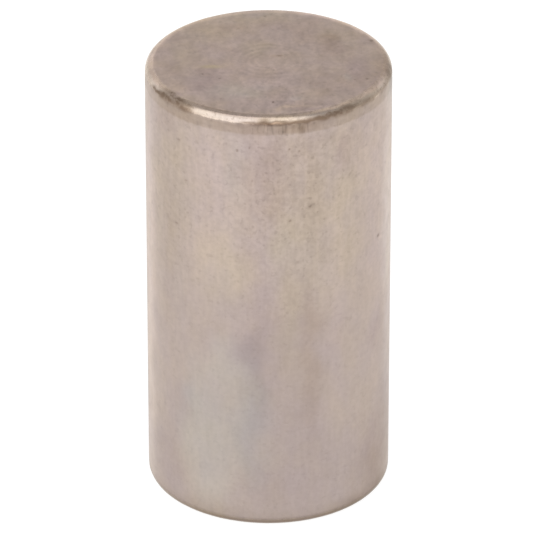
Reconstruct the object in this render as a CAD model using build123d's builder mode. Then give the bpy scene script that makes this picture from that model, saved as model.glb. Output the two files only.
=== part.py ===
"""Crank pin: one hardened and ground steel pin that joins two crank webs.

Both ends are pressed into the webs, and the middle carries the big-end needle bearing.
The pin stands on one end. Its origin is at the centre of the lower end face, with +Z
along its axis. All sizes are in millimetres.
"""

from build123d import *
from math import radians, tan
import os

# Driving dimensions.
PIN_DIAMETER = 22.0  # ground diameter of the journal
PIN_LENGTH = 41.5  # over the two end faces
LEAD_IN_HEIGHT = 1.8  # from an end face to where the ground journal starts
LEAD_IN_ANGLE = 0.5  # degrees between a lead-in and the axis
EDGE_RADIUS = 0.8  # rounding between an end face and its lead-in

# Radii that follow from them.
journal_radius = PIN_DIAMETER / 2
end_radius = journal_radius - LEAD_IN_HEIGHT * tan(radians(LEAD_IN_ANGLE))

# The pin is turned from its half section: two flat ends, each with a rounded rim and a
# slight lead-in for pressing it into a web, and the straight ground journal between them.
with BuildPart() as crank_pin:
    with BuildSketch(Plane.XZ) as half_section:
        with BuildLine():
            Polyline(
                (0, 0),
                (end_radius, 0),
                (journal_radius, LEAD_IN_HEIGHT),
                (journal_radius, PIN_LENGTH - LEAD_IN_HEIGHT),
                (end_radius, PIN_LENGTH),
                (0, PIN_LENGTH),
                close=True,
            )
        make_face()
        # By distance from the axis, the corners fall into three groups: axis, rims, journal.
        rim_corners = half_section.vertices().group_by(Axis.X)[1]
        fillet(rim_corners, radius=EDGE_RADIUS)
    revolve(axis=Axis.Z)

crank_pin.part.label = "crank_pin"

os.makedirs("parts", exist_ok=True)
export_step(crank_pin.part, "parts/crank_pin.step")
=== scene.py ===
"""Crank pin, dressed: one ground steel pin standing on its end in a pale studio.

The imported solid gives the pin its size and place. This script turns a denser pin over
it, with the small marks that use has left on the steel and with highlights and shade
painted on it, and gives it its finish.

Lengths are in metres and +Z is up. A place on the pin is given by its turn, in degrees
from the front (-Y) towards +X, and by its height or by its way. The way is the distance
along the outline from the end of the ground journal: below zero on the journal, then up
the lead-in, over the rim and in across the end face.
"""

import logging
import math
from dataclasses import dataclass, replace
from enum import Enum
from typing import ClassVar

import bmesh
import bpy
import numpy as np
from mathutils import Matrix, Vector, noise


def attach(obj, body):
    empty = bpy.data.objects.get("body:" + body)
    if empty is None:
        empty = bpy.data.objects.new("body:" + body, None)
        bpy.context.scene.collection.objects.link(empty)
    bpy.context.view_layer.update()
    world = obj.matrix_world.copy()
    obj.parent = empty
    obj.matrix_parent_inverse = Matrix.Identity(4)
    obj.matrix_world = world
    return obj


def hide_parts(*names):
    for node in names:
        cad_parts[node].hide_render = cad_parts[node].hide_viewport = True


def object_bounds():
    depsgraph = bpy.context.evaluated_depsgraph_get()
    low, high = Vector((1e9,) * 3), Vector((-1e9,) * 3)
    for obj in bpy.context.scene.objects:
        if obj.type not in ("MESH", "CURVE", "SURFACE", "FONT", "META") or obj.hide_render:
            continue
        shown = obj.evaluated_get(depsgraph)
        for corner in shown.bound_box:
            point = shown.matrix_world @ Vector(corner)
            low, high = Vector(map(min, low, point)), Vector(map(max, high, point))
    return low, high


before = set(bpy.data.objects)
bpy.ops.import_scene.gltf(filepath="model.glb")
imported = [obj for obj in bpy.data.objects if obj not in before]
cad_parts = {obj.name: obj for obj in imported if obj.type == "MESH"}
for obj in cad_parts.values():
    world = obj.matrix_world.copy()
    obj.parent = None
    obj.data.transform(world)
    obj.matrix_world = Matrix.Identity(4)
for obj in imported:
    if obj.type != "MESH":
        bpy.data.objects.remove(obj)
CAD_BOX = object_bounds()

MM = 0.001
MICRON = 0.000001
LOG = logging.getLogger("crank_pin")

Colour = tuple[float, float, float]
Socket = bpy.types.NodeSocket
Span = tuple[float, float]


class Surface(Enum):
    """The surfaces of the pin that a mark can lie on, and how its place there is told."""

    JOURNAL = "by turn and height"
    RIM = "upper lead-in and rounding, by turn and way"
    UPPER_END = "upper end face, by X and Y"

    @property
    def unit(self) -> float:
        """What the first number of a listed place counts: millimetres for X, or degrees."""
        return MM if self is Surface.UPPER_END else 1.0


class Tint(Enum):
    """What films, stains and rubbed spots do to the steel's colour, as factors, and what painted
    highlights, reflections and shade do to it.
    """

    STRAW = (1.00, 1.01, 0.95)
    ROSE = (1.07, 1.06, 1.08)
    SAGE = (1.00, 1.07, 1.09)
    SLATE = (0.90, 0.95, 0.98)
    PLUM = (0.90, 0.88, 0.91)
    UMBER = (0.86, 0.82, 0.76)
    # Lighter steel: rubbed spots, and painted highlights and reflections on the rim and along the
    # journal's silhouettes.
    BRIGHT = (1.20, 1.19, 1.12)
    # Dark soot and oxide, and painted shade that trims the rim's highlight and darkens the right foot.
    SOOT_AND_SHADE = (0.55, 0.50, 0.46)
    # Painted highlight: bright lines along the rim.
    GLINT = (1.34, 1.33, 1.32)
    BRASS = (1.14, 1.17, 0.98)
    CLEAN = (1.00, 1.03, 1.07)
    # Painted reflection: lighter strips along the silhouettes and on the far rim.
    SHEEN = (1.09, 1.10, 1.14)


# ---------------------------------------------------------------------------
# Form


@dataclass(frozen=True)
class PinForm:
    """Sizes of the pin and the outline that follows from them.

    Attributes:
        radius: radius of the ground journal.
        length: length over the two end faces.
        lead_in_height: height from an end face to the journal.
        lead_in_angle: angle between a lead-in and the axis, in degrees.
        edge_radius: rounding between an end face and its lead-in.
    """

    radius: float
    length: float
    lead_in_height: float = 1.8 * MM
    lead_in_angle: float = 0.5
    edge_radius: float = 0.8 * MM

    @property
    def half_journal(self) -> float:
        """Half the length of the ground journal."""
        return self.length / 2 - self.lead_in_height

    @property
    def lean(self) -> float:
        """Angle of a lead-in to the axis, in radians."""
        return math.radians(self.lead_in_angle)

    @property
    def corner_radius(self) -> float:
        """Radius at which the lead-in would meet the end face if the rim were sharp."""
        return self.radius - self.lead_in_height * math.tan(self.lean)

    @property
    def trim(self) -> float:
        """How much the rounding takes off the lead-in and off the end face."""
        return self.edge_radius * math.tan((math.pi / 2 - self.lean) / 2)

    @property
    def face_radius(self) -> float:
        """Radius of the flat end face inside the rounding."""
        return self.corner_radius - self.trim

    @property
    def rim_start(self) -> float:
        """Way at which the rounding starts."""
        return self.lead_in_height / math.cos(self.lean) - self.trim

    @property
    def face_start(self) -> float:
        """Way at which the flat end face starts."""
        return self.rim_start + self.edge_radius * (math.pi / 2 - self.lean)

    @property
    def centre(self) -> float:
        """Way at the middle of the end face."""
        return self.face_start + self.face_radius

    def outline(self, way: float) -> tuple[float, float]:
        """Finds a point of the outline.

        Args:
            way: distance along the outline from the end of the journal.

        Returns:
            The point's radius and its height above the pin's middle.
        """
        if way <= 0:
            return self.radius, self.half_journal + way
        if way <= self.rim_start:
            return (
                self.radius - way * math.sin(self.lean),
                self.half_journal + way * math.cos(self.lean),
            )
        top = self.length / 2
        if way >= self.face_start:
            return max(self.centre - way, 0.0), top
        tilt = self.lean + (way - self.rim_start) / self.edge_radius
        return (
            self.face_radius + self.edge_radius * math.cos(tilt),
            top - self.edge_radius * (1 - math.sin(tilt)),
        )


@dataclass(frozen=True)
class Rings:
    """How closely the rings of the mesh stand along the outline.

    Attributes:
        journal: gap between rings on the journal.
        lead_in: number of rings on a lead-in.
        rim: number of rings on a rounding.
        upper_face: gap between rings on the upper end face.
        lower_face: gap between rings on the lower one, which nothing marks.
        fine_face: gap between rings where turning marks show.
        fine_band: nearest and farthest radius of those marks.
        edge_gap: gap of the close ring on each side of a change of form.
    """

    journal: float = 0.40 * MM
    lead_in: int = 6
    rim: int = 22
    upper_face: float = 0.24 * MM
    lower_face: float = 1.50 * MM
    fine_face: float = 0.10 * MM
    fine_band: Span = (0.5 * MM, 4.1 * MM)
    edge_gap: float = 0.05 * MM

    def wall(self, form: PinForm) -> list[float]:
        """Lists the ways of the rings from the middle of the journal to the end face.

        Args:
            form: the pin's form.

        Returns:
            The ways in rising order.
        """
        steps = round((form.half_journal - self.edge_gap) / self.journal)
        found = list(np.linspace(-form.half_journal, -self.edge_gap, steps + 1))
        found += list(np.linspace(0.0, form.rim_start, self.lead_in + 1))[:-1]
        return found + list(np.linspace(form.rim_start, form.face_start, self.rim + 1))

    def face(self, form: PinForm, upper: bool) -> list[float]:
        """Lists the ways of the rings on an end face.

        Args:
            form: the pin's form.
            upper: true for the upper end face.

        Returns:
            The ways in rising order, without the centre itself.
        """
        rim = form.face_radius - self.edge_gap
        near, far = self.fine_band
        if upper:
            radii = [
                *self._spread(rim, far, self.upper_face),
                *self._spread(far, near, self.fine_face),
                *self._spread(near, 0.0, self.upper_face),
            ]
        else:
            radii = self._spread(rim, 0.0, self.lower_face)
        return [form.centre - radius for radius in radii]

    @staticmethod
    def _spread(start: float, end: float, gap: float) -> list[float]:
        """Spaces numbers evenly from start down to end, leaving end out."""
        count = max(1, round((start - end) / gap))
        return list(np.linspace(start, end, count + 1))[:-1]


@dataclass(frozen=True)
class Drift:
    """A smooth, uneven shift, which keeps edges from looking drawn.

    Attributes:
        grain: size of the unevenness.
        reach: how far anything may shift.
    """

    grain: float
    reach: float

    # Takes the second draw from another part of the noise.
    APART: ClassVar[Vector] = Vector((17.3, 5.1, 9.7))

    def shifts(self, points: np.ndarray) -> tuple[np.ndarray, np.ndarray]:
        """Draws the shift of every point.

        Args:
            points: one row per point.

        Returns:
            The shifts across and along.
        """
        spots = [Vector(point) / self.grain for point in points]
        across = np.array([noise.noise(spot) for spot in spots])
        along = np.array([noise.noise(spot + self.APART) for spot in spots])
        return across * self.reach, along * self.reach


@dataclass(frozen=True)
class Place:
    """Where points of the turned mesh lie, as arrays of one value per point.

    Attributes:
        form: the pin's form.
        points: the points themselves, one row each.
        turn: degrees from the front.
        way: way along the outline, from the nearer end of the journal.
        height: height above the lower end face.
        radius: distance from the axis.
        upper: true above the middle of the pin.
        drift: how far marks are shifted across and along, which makes their edges uneven.
    """

    form: PinForm
    points: np.ndarray
    turn: np.ndarray
    way: np.ndarray
    height: np.ndarray
    radius: np.ndarray
    upper: np.ndarray
    drift: tuple[np.ndarray, np.ndarray] = (0.0, 0.0)

    @classmethod
    def of(cls, form: PinForm, points: np.ndarray) -> "Place":
        """Finds where points lie on the unmarked pin.

        Args:
            form: the pin's form.
            points: one row per point.

        Returns:
            Their places.
        """
        x, y, z = points.T
        radius = np.hypot(x, y)
        up = np.abs(z - form.length / 2)
        beyond = up - form.half_journal
        rise = form.edge_radius - (form.length / 2 - up)
        tilt = np.arctan2(rise, radius - form.face_radius)
        way = np.where(beyond <= 0, beyond, beyond / math.cos(form.lean))
        on_rim = (tilt > form.lean) & (rise > 0) & (radius > form.face_radius)
        way = np.where(on_rim, form.rim_start + (tilt - form.lean) * form.edge_radius, way)
        flat = (radius <= form.face_radius) & (rise > form.edge_radius - MICRON)
        way = np.where(flat, form.centre - radius, way)
        turn = np.degrees(np.arctan2(x, -y))
        return cls(form, points, turn, way, z, radius, z > form.length / 2)

    @property
    def outward(self) -> np.ndarray:
        """Outward direction at each point.

        Returns:
            One unit row for each point.
        """
        form = self.form
        tilt = np.clip((self.way - form.rim_start) / form.edge_radius, 0, math.pi / 2 - form.lean)
        tilt = np.where(self.way > 0, tilt + form.lean, 0.0)
        around = np.radians(self.turn)
        side = np.where(self.upper, 1.0, -1.0)
        flat = np.cos(tilt)
        return np.stack([flat * np.sin(around), -flat * np.cos(around), side * np.sin(tilt)], 1)

    def drifting(self, drift: Drift) -> "Place":
        """Gives the same places with all marks shifted a little."""
        return replace(self, drift=drift.shifts(self.points))

    def offsets(self, surface: Surface, first: float, second: float) -> tuple[np.ndarray, np.ndarray]:
        """Measures how far each point is from a spot.

        Args:
            surface: the surface that the spot lies on.
            first: its turn, or its X on the end face.
            second: its height, its way or its Y.

        Returns:
            The distances across and along the surface, infinite on other surfaces.
        """
        angle = np.radians(self.turn)
        across = np.radians(turn_between(self.turn, first)) * self.form.radius
        if surface is Surface.JOURNAL:
            along = self.height - second
            there = self.way < self.form.face_start
        elif surface is Surface.RIM:
            along = self.way - second
            there = self.upper & (self.way > -self.form.lead_in_height)
        else:
            across = self.radius * np.sin(angle) - first
            along = -self.radius * np.cos(angle) - second
            there = self.upper & (self.way > self.form.face_start - self.form.edge_radius)
        shift_across, shift_along = self.drift
        return (
            np.where(there, across + shift_across, np.inf),
            np.where(there, along + shift_along, np.inf),
        )


# ---------------------------------------------------------------------------
# Marks of use, and painted light and shade


def soft_step(low: float, high: float, value: np.ndarray) -> np.ndarray:
    """Rises smoothly from 0 at low to 1 at high.

    Args:
        low: where the rise starts.
        high: where the rise ends.
        value: the values to map.

    Returns:
        An array of the mapped values.
    """
    share = np.clip((value - low) / (high - low), 0.0, 1.0)
    return share * share * (3 - 2 * share)


def turn_between(turn: np.ndarray, at: float) -> np.ndarray:
    """Gives the signed angle from one turn to others, between -180 and 180 degrees."""
    return (turn - at + 180.0) % 360.0 - 180.0


@dataclass(frozen=True)
class Pit:
    """A small rounded pit in the steel, with dark dirt in it and a faint halo.

    BOWL, SOILED and HALO are distances from its middle, in pit radii, between which its
    depth, its dirt and its halo come in. NEARBY, with the MARGIN added, is how far round it
    the mesh is cut finer.

    Attributes:
        surface: the surface that it lies on.
        first: turn on the journal, or X on an end face.
        second: height on the journal, or Y on an end face.
        radius: radius of its mouth.
        stretch: how many times wider it is across than along.
        dirt: how much dirt it holds, from 0 to 1.
    """

    surface: Surface
    first: float
    second: float
    radius: float
    stretch: float
    dirt: float

    DEPTH_SHARE: ClassVar[float] = 0.2
    BOWL: ClassVar[Span] = (1.2, 0.2)
    SOILED: ClassVar[Span] = (1.3, 0.3)
    HALO: ClassVar[Span] = (2.6, 0.8)
    HALO_SHARE: ClassVar[float] = 0.25
    NEARBY: ClassVar[float] = 1.6
    MARGIN: ClassVar[float] = 0.2 * MM

    @classmethod
    def listed(
        cls, surface: Surface, first: float, second: float, radius: float, stretch: float, dirt: float
    ) -> "Pit":
        """Makes a pit from a row of numbers, with its lengths in millimetres."""
        return cls(surface, first * surface.unit, second * MM, radius * MM, stretch, dirt)

    def distance(self, place: Place) -> np.ndarray:
        """Measures how far each point is from the pit's middle, in pit radii."""
        across, along = place.offsets(self.surface, self.first, self.second)
        return np.hypot(across / self.stretch, along) / self.radius

    def near(self, place: Place) -> np.ndarray:
        """Tells which points are so near that the mesh there has to be finer."""
        return self.distance(place) < self.NEARBY + self.MARGIN / self.radius

    def depth(self, place: Place) -> np.ndarray:
        """Gives the pit's depth at each point."""
        return self.radius * self.DEPTH_SHARE * soft_step(*self.BOWL, self.distance(place))

    def soil(self, place: Place) -> np.ndarray:
        """Gives the cover of the pit's dirt.

        Args:
            place: where the points lie.

        Returns:
            The cover at each point, from 0 to 1.
        """
        far = self.distance(place)
        halo = self.HALO_SHARE * self.dirt * soft_step(*self.HALO, far)
        return np.maximum(self.dirt * soft_step(*self.SOILED, far), halo)


@dataclass(frozen=True)
class Mark:
    """A mark with soft edges on one surface.

    Attributes:
        surface: the surface that it lies on.
        first: its turn, or its X on the end face.
        second: its height, its way or its Y.
        half_across: half its width.
        half_along: half its length.
        strength: how strong it is, from 0 to 1.
    """

    surface: Surface
    first: float
    second: float
    half_across: float
    half_along: float
    strength: float

    # How steeply its cover falls at the edge, and the half size below which it counts as fine.
    EDGE_POWER: ClassVar[int] = 3
    FINE_HALF: ClassVar[float] = 0.4 * MM

    @classmethod
    def listed(cls, surface: Surface, first: float, *rest: float | Tint) -> "Mark":
        """Makes a mark from a row of numbers, with its lengths in millimetres.

        Args:
            surface: the surface that it lies on.
            first: its turn, or its X on the end face.
            *rest: its height, way or Y, half width, half length and strength, and for a
                patch its tint.

        Returns:
            The mark.
        """
        second, across, along, *other = rest
        return cls(surface, first * surface.unit, second * MM, across * MM, along * MM, *other)

    @property
    def fine(self) -> bool:
        """Whether its edge is drawn finely, as on the rim and on small marks."""
        narrow = min(self.half_across, self.half_along) < self.FINE_HALF
        return self.surface is Surface.RIM or narrow

    def cover(self, place: Place) -> np.ndarray:
        """Gives how far the mark covers the steel.

        Args:
            place: where the points lie.

        Returns:
            The cover at each point, from 0 to the mark's strength.
        """
        across, along = place.offsets(self.surface, self.first, self.second)
        far = np.hypot(across / self.half_across, along / self.half_along)
        return self.strength * np.exp(-(far ** self.EDGE_POWER))


@dataclass(frozen=True)
class Patch(Mark):
    """A patch that changes the steel's colour: films and rubbing, and also painted highlights,
    reflections and shade.

    Attributes:
        tint: what it does to the colour.
    """

    tint: Tint

    def factors(self, place: Place) -> np.ndarray:
        """Gives the factors that the patch puts on the colour, one row per point."""
        return 1 + self.cover(place)[:, None] * (np.array(self.tint.value) - 1)


@dataclass(frozen=True)
class Fade:
    """A change of tone that comes in gradually.

    Attributes:
        start: height or way at which it starts.
        end: height or way at which it is full.
        tone: what it then does to the colour, as factors.
    """

    start: float
    end: float
    tone: Colour

    def factors(self, along: np.ndarray, there: np.ndarray | bool = True) -> np.ndarray:
        """Gives the factors that the fade puts on the colour.

        Args:
            along: height or way of each point.
            there: whether the fade reaches each point, or all of them.

        Returns:
            One row per point.
        """
        share = np.where(there, soft_step(self.start, self.end, along), 0.0)
        return 1 + share[:, None] * (np.array(self.tone) - 1)


@dataclass(frozen=True)
class Grit:
    """How gritty the steel looks: most near the top of the front, least at the foot.

    Attributes:
        foot: the grit at the foot.
        top: what the upper part has more than the foot.
        front: what the front of the upper part has besides.
        front_turn: turn at the middle of that front.
        front_spread: degrees over which it fades.
        rise: heights between which the upper part comes in.
    """

    foot: float = 0.37
    top: float = 0.27
    front: float = 0.27
    front_turn: float = 10.0
    front_spread: float = 22.0
    rise: Span = (16 * MM, 36 * MM)

    def level(self, place: Place) -> np.ndarray:
        """Gives how gritty the steel looks.

        Args:
            place: where the points lie.

        Returns:
            The grit at each point.
        """
        side = turn_between(place.turn, self.front_turn) / self.front_spread
        front = np.exp(-side * side)
        return self.foot + (self.top + self.front * front) * soft_step(*self.rise, place.height)


@dataclass(frozen=True)
class TurningMarks:
    """Faint turning marks round the middle of the upper end face.

    Attributes:
        gap: distance from one to the next.
        depth: how deep they are.
        tone: how much darker they are.
        fade: width over which they die out at both edges of their band.
        stray: how they stray from true circles.
        breaks: a second draw of the stray, between whose values they come and go.
    """

    gap: float = 0.66 * MM
    depth: float = 1.5 * MICRON
    tone: float = 0.10
    fade: float = 0.8 * MM
    stray: Drift = Drift(1.7 * MM, 0.16 * MM)
    breaks: Span = (-0.10 * MM, 0.06 * MM)

    def share(self, place: Place, band: Span) -> np.ndarray:
        """Tells how deep in a mark each point is.

        Args:
            place: where the points lie.
            band: nearest and farthest radius of the marks.

        Returns:
            Values from 0 to 1.
        """
        near, far = band
        swell = soft_step(near, near + self.fade, place.radius)
        swell *= soft_step(far, far - self.fade, place.radius)
        shift, strong = self.stray.shifts(place.points)
        wave = 0.5 + 0.5 * np.cos((place.radius + shift) / self.gap * 2 * math.pi)
        wave *= soft_step(*self.breaks, strong)
        return np.where(place.upper & (place.way > place.form.face_start), swell * wave, 0.0)


@dataclass(frozen=True)
class HandWork:
    """The unevenness that dressing by hand leaves on the roundings.

    Attributes:
        depth: how far they stray inwards.
        middle: where in that depth the surface lies on average.
        swells: size and share of each layer of the unevenness.
        rim_span: ways from the start of the rounding between which it comes in.
        face_span: ways from the start of the end face, the far one first, between which it
            goes out.
    """

    depth: float = 0.02 * MM
    middle: float = 0.5
    swells: tuple[tuple[float, float], ...] = (
        (1.60 * MM, 0.40),
        (0.50 * MM, 0.25),
        (0.25 * MM, 0.12),
    )
    rim_span: Span = (-0.25 * MM, 0.20 * MM)
    face_span: Span = (0.50 * MM, -0.10 * MM)

    def hollow(self, place: Place) -> np.ndarray:
        """Gives how far in the surface lies after the work by hand.

        Args:
            place: where the points lie.

        Returns:
            The depth at each point, 0 away from the rim.
        """
        rim, face = place.form.rim_start, place.form.face_start
        window = soft_step(*(rim + edge for edge in self.rim_span), place.way)
        window *= soft_step(*(face + edge for edge in self.face_span), place.way)
        wander = np.zeros(len(window))
        for index in np.flatnonzero(window > 0):
            spot = Vector(place.points[index])
            uneven = sum(share * noise.noise(spot / size) for size, share in self.swells)
            wander[index] = self.middle + uneven
        return self.depth * window * np.maximum(wander, 0.0)


@dataclass(frozen=True)
class LooseMarks:
    """Marks drawn at random round the part of the journal that has no listed ones.

    Turns are in degrees, heights and sizes in millimetres.

    Attributes:
        count: how many pits there are, and how many patches.
        seed: start of the random draws.
        pit_turn: turns between which the pits lie.
        pit_height: heights between which they lie.
        pit_radius: least and greatest radius of a pit.
        pit_stretch: least and greatest stretch.
        pit_dirt: least and most dirt.
        patch_turn: turns between which the patches lie.
        patch_height: heights between which the lower patches lie.
        upper_rise: how much higher the upper patches lie.
        patch_across: least and greatest half width of a patch.
        patch_along: least and greatest half length.
        patch_strength: least and greatest strength.
        upper_tints: what the upper patches are drawn from.
        lower_tints: what the lower ones are drawn from.
    """

    count: int = 36
    seed: int = 7
    pit_turn: Span = (85.0, 275.0)
    pit_height: Span = (12.0, 38.0)
    pit_radius: Span = (0.07, 0.14)
    pit_stretch: Span = (1.0, 1.8)
    pit_dirt: Span = (0.25, 0.5)
    patch_turn: Span = (88.0, 272.0)
    patch_height: Span = (2.0, 20.0)
    upper_rise: float = 18.0
    patch_across: Span = (1.2, 3.2)
    patch_along: Span = (2.0, 6.0)
    patch_strength: Span = (0.4, 1.0)
    upper_tints: tuple[Tint, ...] = (Tint.STRAW, Tint.STRAW, Tint.ROSE, Tint.UMBER)
    lower_tints: tuple[Tint, ...] = (Tint.SAGE, Tint.SLATE, Tint.PLUM, Tint.ROSE)

    def pits(self) -> list[Pit]:
        """Draws the pits.

        Returns:
            The pits.
        """
        rng = np.random.default_rng(self.seed)
        spans = (self.pit_turn, self.pit_height, self.pit_radius, self.pit_stretch, self.pit_dirt)
        return [
            Pit.listed(Surface.JOURNAL, *(rng.uniform(*span) for span in spans))
            for _ in range(self.count)
        ]

    def patches(self) -> list[Patch]:
        """Draws the patches, a lower one and an upper one in turn.

        Returns:
            The patches.
        """
        rng = np.random.default_rng(self.seed + 1)
        sizes = (self.patch_across, self.patch_along, self.patch_strength)
        found = []
        for index in range(self.count):
            high = index % 2
            tints = self.upper_tints if high else self.lower_tints
            tint = tints[rng.integers(len(tints))]
            turn, height = rng.uniform(*self.patch_turn), rng.uniform(*self.patch_height)
            rest = [rng.uniform(*span) for span in sizes]
            height += self.upper_rise * high
            found.append(Patch.listed(Surface.JOURNAL, turn, height, *rest, tint))
        return found


def patches_on(surface: Surface, groups: dict[Tint, tuple]) -> tuple[Patch, ...]:
    """Makes the patches of one surface from rows of numbers, which are grouped by tint."""
    return tuple(Patch.listed(surface, *row, tint) for tint, rows in groups.items() for row in rows)


# Turn, height in mm, radius in mm, stretch, dirt.
JOURNAL_PITS = tuple(
    Pit.listed(Surface.JOURNAL, *row)
    for row in (
        (19.4, 32.4, 0.15, 1.2, 0.62), (62.6, 26.7, 0.13, 2.0, 0.80), (-14.5, 38.1, 0.11, 1.0, 0.75),
        (-8.7, 38.5, 0.10, 1.0, 0.60), (9.5, 38.3, 0.10, 1.0, 0.65), (14.2, 38.0, 0.10, 1.0, 0.65),
        (-45.8, 37.6, 0.12, 1.6, 0.42), (-41.5, 33.9, 0.13, 1.6, 0.40), (-7.5, 35.2, 0.09, 1.0, 0.40),
        (-0.8, 36.0, 0.08, 1.0, 0.35), (9.9, 31.2, 0.12, 1.2, 0.58), (23.1, 31.7, 0.08, 1.0, 0.40),
        (-47.9, 29.2, 0.13, 1.8, 0.50), (-27.6, 27.1, 0.16, 2.2, 0.22), (13.5, 27.0, 0.14, 1.4, 0.22),
    )
)

# X, Y and radius, all in mm, stretch, dirt.
FACE_PITS = tuple(
    Pit.listed(Surface.UPPER_END, *row)
    for row in (
        (7.6, -3.6, 0.10, 1.0, 0.35), (8.7, -3.5, 0.16, 1.0, 0.50), (0.4, -8.0, 0.20, 0.6, 0.75),
        (1.0, 1.1, 0.20, 1.6, 0.20), (9.2, 4.1, 0.22, 1.0, 0.45), (-5.8, -2.6, 0.20, 1.0, 0.15),
        (-4.3, -3.4, 0.16, 1.0, 0.30), (4.7, -8.4, 0.12, 1.0, 0.40), (-0.3, 9.0, 0.18, 1.0, 0.30),
        (-4.2, -7.4, 0.14, 1.0, 0.30),
    )
)

# Turn, height, half width and half length in mm, strength.
JOURNAL_PATCHES = patches_on(
    Surface.JOURNAL,
    {
        Tint.STRAW: (
            (-52, 30.0, 2.8, 9.0, 1.0), (-22, 26.0, 2.8, 3.6, 0.9), (29, 30.0, 4.0, 8.0, 0.9),
            (12, 27.0, 2.0, 8.0, 0.7), (9, 20.0, 1.2, 4.0, 0.8), (5, 29.5, 1.0, 2.0, 0.8),
        ),
        Tint.ROSE: (
            (-22, 35.0, 3.0, 5.0, 0.6), (-35, 28.0, 1.8, 5.0, 0.5), (33, 24.0, 1.0, 14.0, 0.5),
            # (63, 24) and (-72, 24) are painted reflection: lighter strips along the silhouettes.
            (63, 24.0, 1.8, 18.0, 0.6), (-72, 24.0, 1.4, 16.0, 0.6),
        ),
        Tint.SAGE: (
            (-9, 12.0, 2.0, 5.5, 0.4), (-30, 8.5, 3.2, 5.5, 1.0), (-30, 15.0, 2.4, 2.6, 0.3),
            (-29, 2.6, 2.4, 2.4, 0.4), (-39, 12.0, 1.1, 1.6, 0.4), (-20, 17.0, 1.6, 2.6, 0.6),
        ),
        Tint.SLATE: (
            (-6, 18.0, 1.4, 2.2, 0.4), (75, 28.0, 1.4, 7.0, 0.6), (-8, 12.0, 1.5, 5.0, 0.7),
            (-6, 6.0, 1.2, 2.4, 0.5), (-15, 36.5, 1.3, 3.4, 0.6),
        ),
        Tint.PLUM: (
            (37, 37.0, 0.8, 1.6, 1.0), (-6, 18.0, 1.4, 2.2, 0.7), (-5, 25.0, 1.5, 9.0, 0.5),
            (-6, 37.4, 2.6, 3.0, 0.6), (0, 32.8, 2.0, 1.8, 0.4), (0, 17.5, 2.2, 6.5, 0.5),
            (0, 3.5, 2.6, 2.4, 0.4), (-14, 19.5, 1.0, 2.4, 0.35), (-47, 28.0, 1.4, 3.0, 0.35),
            (22, 32.0, 1.8, 6.0, 0.35), (75, 7.0, 1.4, 5.0, 0.6), (11, 22.0, 2.0, 6.0, 0.5),
            (18, 8.0, 2.4, 9.0, 0.4), (62, 17.5, 1.1, 1.8, 0.7), (52, 5.0, 2.8, 4.0, 0.4),
            (-58, 4.0, 2.4, 4.0, 0.55), (-47, 10.0, 1.2, 5.0, 0.3), (45, 37.0, 1.4, 2.6, 0.35),
            (65, 20.5, 1.2, 1.6, 0.3), (30, 19.0, 1.6, 3.0, 0.3), (-57, 38.8, 1.6, 1.3, 0.9),
            # (-55, 25) is painted shade, a darker strip beside the softbox's reflection; (70, 5) is
            # painted shade, the floor's shadow mirrored at the right foot.
            (-55, 25.0, 1.0, 8.0, 0.5), (70, 5.0, 2.6, 5.0, 0.5), (21, 22.0, 1.2, 2.0, 0.5),
        ),
        Tint.UMBER: (
            (4, 35.0, 1.2, 5.0, 0.45), (16, 34.0, 1.6, 4.5, 0.25), (20, 16.0, 0.9, 7.0, 0.5),
            # (70, 1.0) is painted shade: the floor's shadow mirrored at the right foot.
            (70, 1.0, 4.0, 8.0, 1.0), (-3, 37.5, 2.2, 3.4, 0.3), (-54, 34.0, 2.4, 6.0, 0.2),
            (66, 14.0, 1.6, 5.0, 0.3), (-5, 14.0, 1.2, 2.5, 0.3), (-27, 1.3, 3.0, 1.0, 0.4),
            (20, 38.6, 2.4, 1.4, 0.3),
        ),
        Tint.BRIGHT: (
            (-74, 11.0, 1.4, 5.0, 0.15), (42, 7.0, 2.2, 2.0, 0.12), (45, 8.6, 0.35, 0.22, 0.45),
            # (65, 26.4) is a painted glint beside the dash-shaped pit.
            (65, 26.4, 0.40, 0.14, 0.6), (-29, 2.6, 2.4, 2.4, 0.2), (-31, 6.0, 3.4, 6.0, 0.4),
            (-28, 15.0, 2.6, 3.0, 0.25), (30, 11.0, 2.0, 1.8, 0.2), (-73, 33.0, 1.2, 4.0, 0.35),
            (-21, 27.0, 2.4, 3.2, 0.3), (40, 29.0, 2.6, 12.0, 0.2), (50, 12.0, 3.0, 5.0, 0.25),
            # (-78, 15) and (78, 30) are painted reflection: lighter strips along the silhouettes.
            (-56, 13.0, 2.6, 5.0, 0.2), (-78, 15.0, 1.6, 14.0, 0.8), (78, 30.0, 1.5, 10.0, 0.8),
            (55, 35.5, 1.8, 4.0, 0.3),
        ),
        Tint.SOOT_AND_SHADE: (
            # Painted shade at the right foot, where the floor's shadow is mirrored.
            (52, 0.0, 5.0, 1.8, 0.15), (54, 0.6, 3.0, 0.7, 0.35),
        ),
        Tint.SHEEN: (
            # Painted reflection: lighter strips along the silhouettes.
            (-77, 22.0, 1.5, 26.0, 1.0), (76, 26.0, 1.4, 13.0, 0.9), (72, 31.5, 1.2, 4.5, 0.6),
        ),
    },
)

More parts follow.
